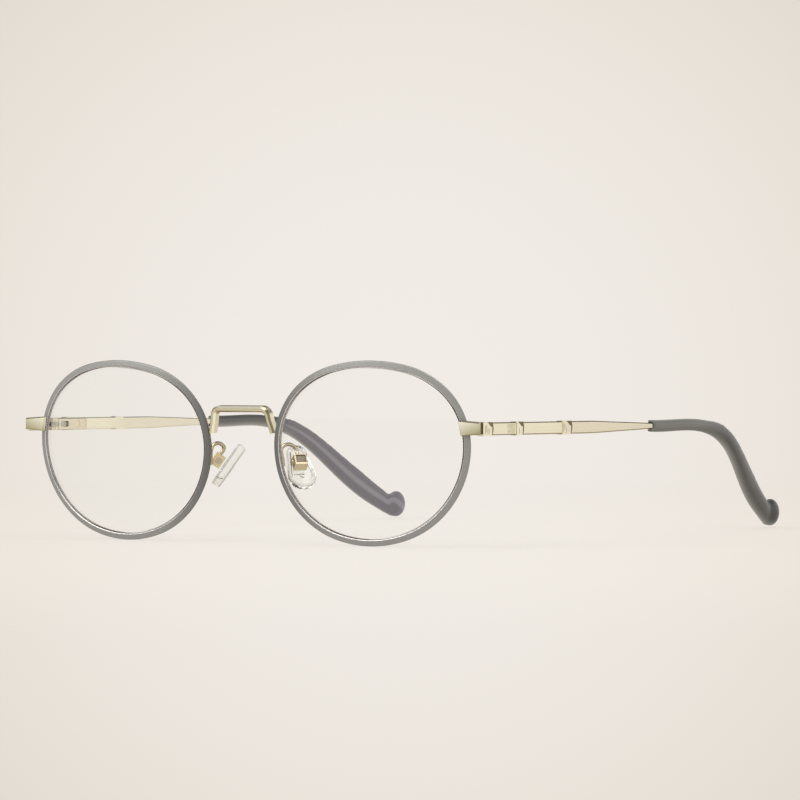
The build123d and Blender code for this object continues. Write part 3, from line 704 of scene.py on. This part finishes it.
# Nose pads: clear mouldings with a raised border, a recess and a small boss on the back.
# The two circles of the outline are given by their middle and radius, each ring by how far it
# lies inside that outline and by its depth, and the boss by its middle, radius and two depths.
# The hinge lies HINGE_BACK behind the rims' middle and HINGE_UP above it.
HINGE_BACK = 4.4008
HINGE_UP = 5.25
PAD_ACROSS = 10.06
PAD_BACK = 6.0
PAD_DROP = 4.0
PAD_LOWER = (-0.7, -2.05, 3.15)
PAD_UPPER = (-0.25, 3.55, 2.3)
PAD_RINGS = ((1.75, -0.62), (1.2, -0.66), (1.1, -0.9), (1.05, -1.05), (0.85, -1.15), (0.55, -1.12),
             (0.22, -0.9), (0.1, -0.7), (0.05, -0.55), (0.0, -0.2), (0.03, 0.3), (0.15, 0.7),
             (0.45, 1.02), (0.9, 1.15), (1.5, 1.15))
PAD_LINE_RINGS = (1, 2, 6, 7, 11)
PAD_STEPS = 28
BOSS = (-0.65, -2.2, 0.62, -0.95, -0.6)
BOSS_STEPS = 20


def pad_outline(inset):
    """The outline around the two circles, moved inwards."""
    ax, ay, big = PAD_LOWER
    bx, by, small = PAD_UPPER
    run, rise = bx - ax, by - ay
    heading = math.atan2(rise, run)
    half = math.acos((big - small) / math.hypot(run, rise))
    outline = []
    for step in range(PAD_STEPS + 1):
        turn = heading - half + 2 * half * step / PAD_STEPS
        outline.append((bx + (small - inset) * math.cos(turn), by + (small - inset) * math.sin(turn)))
    for step in range(PAD_STEPS + 1):
        turn = heading + half + 2 * (math.pi - half) * step / PAD_STEPS
        outline.append((ax + (big - inset) * math.cos(turn), ay + (big - inset) * math.sin(turn)))
    return outline


def round_pad():
    """Corners and faces of the pad in its own plane."""
    spots, faces = [], []
    for inset, depth in PAD_RINGS:
        spots += [(x, y, depth) for x, y in pad_outline(inset)]
    count = len(spots) // len(PAD_RINGS)
    for ring in range(len(PAD_RINGS) - 1):
        first, second = ring * count, (ring + 1) * count
        for i in range(count):
            j = (i + 1) % count
            faces.append((first + i, first + j, second + j, second + i))
    faces.append(tuple(range(count)))
    faces.append(tuple(range(len(spots) - count, len(spots))))
    return spots, faces


def disc(x, y, radius, low, high):
    """A short round boss."""
    turns = [2 * math.pi * step / BOSS_STEPS for step in range(BOSS_STEPS)]
    return slab([(x + radius * math.cos(turn), y + radius * math.sin(turn)) for turn in turns], low, high)


def pad_moulding(side):
    """One nose pad, with faint grey lines of painted reflection along its edges."""
    _, hinge_y, hinge_z = joints["left_temple_fold"]["pos_m"]
    rim_y, rim_z = hinge_y / MM - HINGE_BACK, hinge_z / MM - HINGE_UP
    centre = Vector((SIGNS[side] * PAD_ACROSS, rim_y + PAD_BACK, rim_z - PAD_DROP)) * MM
    level, rise, nose = pad_frame(side)
    spots, faces = join([round_pad(), disc(*BOSS)])
    spots = [centre + (level * x + rise * y + nose * z) * MM for x, y, z in spots]
    pad = piece(f"{side}_pad_moulding", spots, faces, pad_silicone, f"{side}_pad")
    pad.data.materials.append(pad_reflection_line)
    around = 2 * PAD_STEPS + 2
    for ring in PAD_LINE_RINGS:
        for index in range(ring * around, (ring + 1) * around):
            pad.data.polygons[index].material_index = 1
    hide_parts(f"{side}_nose_pad")


for side in SIGNS:
    pad_moulding(side)


# Rims: grey lacquer on the front and the outer side, bare metal on the inner side and the back
WRAP = math.radians(3.0)
LEAN = math.radians(2.8)
RIM_BACK_TURN, RIM_FRONT_TURN = -0.1, 0.97
LENS_FACE_TURN = 0.8


def paint_rim(side):
    """The bare metal of one rim, and the ground edge of its lens."""
    forward = Vector((SIGNS[side] * math.sin(WRAP) * math.cos(LEAN), -math.cos(WRAP) * math.cos(LEAN),
                      -math.sin(LEAN)))
    centre = middle(f"{side}_rim")

    def bare(spot, normal):
        """Whether a face of the rim looks towards its centre or back."""
        facing = normal.dot(forward)
        return facing < RIM_BACK_TURN or facing < RIM_FRONT_TURN and normal.dot(spot - centre) < 0

    paint(nodes[f"{side}_rim"], silver, bare)
    paint(nodes[f"{side}_lens"], lens_edge,
          lambda spot, normal: abs(normal.dot(forward)) < LENS_FACE_TURN)


for side in SIGNS:
    paint_rim(side)


# Temple tips: the CAD tip remeshed, and smoothed at the bulb so that it flows into the ribbon.
# The slanted run's upper side is swelled. SLANT_RUN gives, in millimetres behind the hinge, where
# the swelling starts, is full, starts to fade and ends.
TIP_VOXEL = 0.0003
SMOOTHING_FACTOR = 0.5
SLANT_RUN = (84.0, 94.0, 112.0, 122.0)
SLANT_SWELL = 0.85
BLEND_REACH = 0.0085
BLEND_TURNS = 120
POLISH_TURNS = 2


def tip_skin(side):
    """The CAD tip's mesh as one skin of fine, even faces."""
    source = new_object("tip_source", nodes[f"{side}_temple_tip"].data.copy())
    remesh = source.modifiers.new("one_skin", "REMESH")
    remesh.mode = "VOXEL"
    remesh.voxel_size = TIP_VOXEL
    remesh.use_smooth_shade = True
    skin = bpy.data.meshes.new_from_object(source.evaluated_get(bpy.context.evaluated_depsgraph_get()))
    bpy.data.objects.remove(source)
    skin.materials.clear()
    skin.materials.append(tip_materials[side])
    return skin


def smoothing(obj, name, turns):
    """Evens out an object's surface."""
    modifier = obj.modifiers.new(name, "SMOOTH")
    modifier.factor = SMOOTHING_FACTOR
    modifier.iterations = turns
    return modifier


def smooth_tip(side):
    """A tip with its bulb blended in, as one moulding."""
    origin, _, back, _ = temple_frame(side)
    skin = tip_skin(side)
    under = Vector(SLANT_UNDER).normalized()
    first, full, last, end = SLANT_RUN
    for vertex in skin.vertices:
        behind = (vertex.co - origin).dot(back) / MM
        share = min((behind - first) / (full - first), (end - behind) / (end - last), 1)
        facing = -vertex.normal.dot(under)
        if share > 0 and facing > 0:
            vertex.co -= under * (SLANT_SWELL * MM * facing * share * share * (3 - 2 * share))
    tip = new_object(f"{side}_tip_moulding", skin)
    bulb = max((vertex.co for vertex in skin.vertices), key=lambda spot: (spot - origin).dot(back)).copy()
    around = tip.vertex_groups.new(name="bulb")
    for vertex in skin.vertices:
        share = 1 - (vertex.co - bulb).length / BLEND_REACH
        if share > 0:
            around.add([vertex.index], min(1, 2 * share), "REPLACE")
    smoothing(tip, "blend", BLEND_TURNS).vertex_group = "bulb"
    smoothing(tip, "polish", POLISH_TURNS)
    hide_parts(f"{side}_temple_tip")
    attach(tip, f"{side}_temple")


for side in SIGNS:
    smooth_tip(side)


# Hinge springs: copies of the CAD coils, in place of them
def spring_coil(side):
    """A copy of the CAD coil, in its place."""
    coil = new_object(f"{side}_spring_coil", nodes[f"{side}_hinge_spring"].data.copy())
    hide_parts(f"{side}_hinge_spring")
    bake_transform(coil)


for side in SIGNS:
    spring_coil(side)


# Floor: it takes the object's shadow and otherwise has the background's colour
FLOOR_RADIUS = 3.0
FLOOR_CORNERS = 96
FLOOR_SHARE = 0.22
LIT_RADIUS = 0.4


def background_fade(tree, heading):
    """The background's colour in a direction from the photograph's camera, palest in the middle."""
    turn = vector_math(tree, "DOT_PRODUCT", heading, -AWAY)
    share = rescale(tree, turn, 1, math.cos(CORNER_ANGLE))
    return ramp(tree, share, BACKGROUND_LIGHT, BACKGROUND_CORNER)


def mixed(tree, factor, first, second):
    """A mix of two shaders, all of the second where the factor is one."""
    node = tree.nodes.new("ShaderNodeMixShader")
    tree.links.new(factor, node.inputs["Fac"])
    tree.links.new(first, node.inputs[1])
    tree.links.new(second, node.inputs[2])
    return node.outputs["Shader"]


def lit_floor():
    """A disc whose colour is the background's, with a share of it lit so that shadows show."""
    mesh = bpy.data.meshes.new("floor")
    shape = bmesh.new()
    bmesh.ops.create_circle(shape, cap_ends=True, segments=FLOOR_CORNERS, radius=FLOOR_RADIUS)
    shape.to_mesh(mesh)
    shape.free()
    floor = new_object("floor", mesh)
    material = bpy.data.materials.new("pale_floor")
    material.use_nodes = True
    tree = material.node_tree
    tree.nodes.clear()
    place = frame_place(tree)
    heading = vector_math(tree, "NORMALIZE", vector_math(tree, "SUBTRACT", place, CAMERA_PLACE))
    plain = tree.nodes.new("ShaderNodeEmission")
    tree.links.new(background_fade(tree, heading), plain.inputs["Color"])
    lit = tree.nodes.new("ShaderNodeBsdfDiffuse")
    set_inputs(lit, {"Color": (*BACKGROUND, 1)})
    reach = vector_math(tree, "LENGTH", place)
    share = rescale(tree, reach, LIT_RADIUS / 2, LIT_RADIUS, FLOOR_SHARE, 0)
    output = tree.nodes.new("ShaderNodeOutputMaterial")
    tree.links.new(mixed(tree, share, plain.outputs["Emission"], lit.outputs["BSDF"]),
                   output.inputs["Surface"])
    dress(floor, material)


lit_floor()


# World: the photograph's pale background, for the camera and in reflections. The bands are the
# brightness of what is reflected, from the horizon to straight up.
REFLECTED_BANDS = ((0, 0.98), (0.3, 1.0), (0.45, 0.35), (0.7, 0.4), (0.85, 1.0))
WORLD_STRENGTH = 0.55


def pale_world():
    """A pale world, with a darker band part of the way up in what shiny surfaces reflect."""
    world = bpy.data.worlds.new("pale_studio")
    bpy.context.scene.world = world
    world.use_nodes = True
    tree = world.node_tree
    tree.nodes.clear()
    path = tree.nodes.new("ShaderNodeLightPath").outputs
    seen = tree.nodes.new("ShaderNodeMath")
    seen.operation = "MAXIMUM"
    tree.links.new(path["Is Camera Ray"], seen.inputs[0])
    tree.links.new(path["Is Transmission Ray"], seen.inputs[1])
    heading = tree.nodes.new("ShaderNodeTexCoord").outputs["Generated"]
    background = tree.nodes.new("ShaderNodeBackground")
    tree.links.new(background_fade(tree, heading), background.inputs["Color"])
    stops = [(at, tuple(level * part for part in LAMP_COLOUR)) for at, level in REFLECTED_BANDS]
    levels = bands(tree, axis_of(tree, heading, "Z"), stops + [(1, (1, 1, 1))])
    reflected = tree.nodes.new("ShaderNodeBackground")
    tree.links.new(levels, reflected.inputs["Color"])
    soft = tree.nodes.new("ShaderNodeBackground")
    set_inputs(soft, {"Color": (*SOFT_COLOUR, 1), "Strength": WORLD_STRENGTH})
    unseen = mixed(tree, path["Is Glossy Ray"], soft.outputs["Background"], reflected.outputs["Background"])
    output = tree.nodes.new("ShaderNodeOutputWorld")
    tree.links.new(mixed(tree, seen.outputs["Value"], unseen, background.outputs["Background"]),
                   output.inputs["Surface"])


pale_world()


# Lamps, each with its place, size and power
SOFTBOXES = {
    "top_softbox": ((0.1, -0.1, 0.9), 0.9, 4.0),
    "front_softbox": ((-0.7, -0.9, 0.6), 0.7, 5.0),
    "side_softbox": ((1.0, -0.2, 0.5), 0.6, 1.5),
}


def softbox(name, place, size, power):
    """A square lamp that faces the floor under the middle of the object."""
    lamp = bpy.data.lights.new(name, "AREA")
    lamp.shape = "SQUARE"
    lamp.size = size
    lamp.energy = power
    lamp.color = LAMP_COLOUR
    holder = new_object(name, lamp)
    holder.location = place
    holder.rotation_mode = "QUATERNION"
    holder.rotation_quaternion = (-Vector(place)).to_track_quat("-Z", "Y")


for name, values in SOFTBOXES.items():
    softbox(name, *values)


# Camera, at the photograph's angle
def photo_camera():
    """A camera that looks at its target from the photograph's side."""
    camera = bpy.data.cameras.new("camera")
    camera.lens = CAMERA_LENS
    camera.clip_end = CAMERA_REACH
    holder = new_object("camera", camera)
    holder.location = CAMERA_PLACE
    holder.rotation_mode = "QUATERNION"
    look = (-AWAY).to_track_quat("-Z", "Y")
    tilt = Matrix.Rotation(math.radians(CAMERA_ROLL), 4, AWAY).to_quaternion()
    holder.rotation_quaternion = tilt @ look
    bpy.context.scene.camera = holder


photo_camera()
bpy.context.scene.view_settings.view_transform = "Standard"
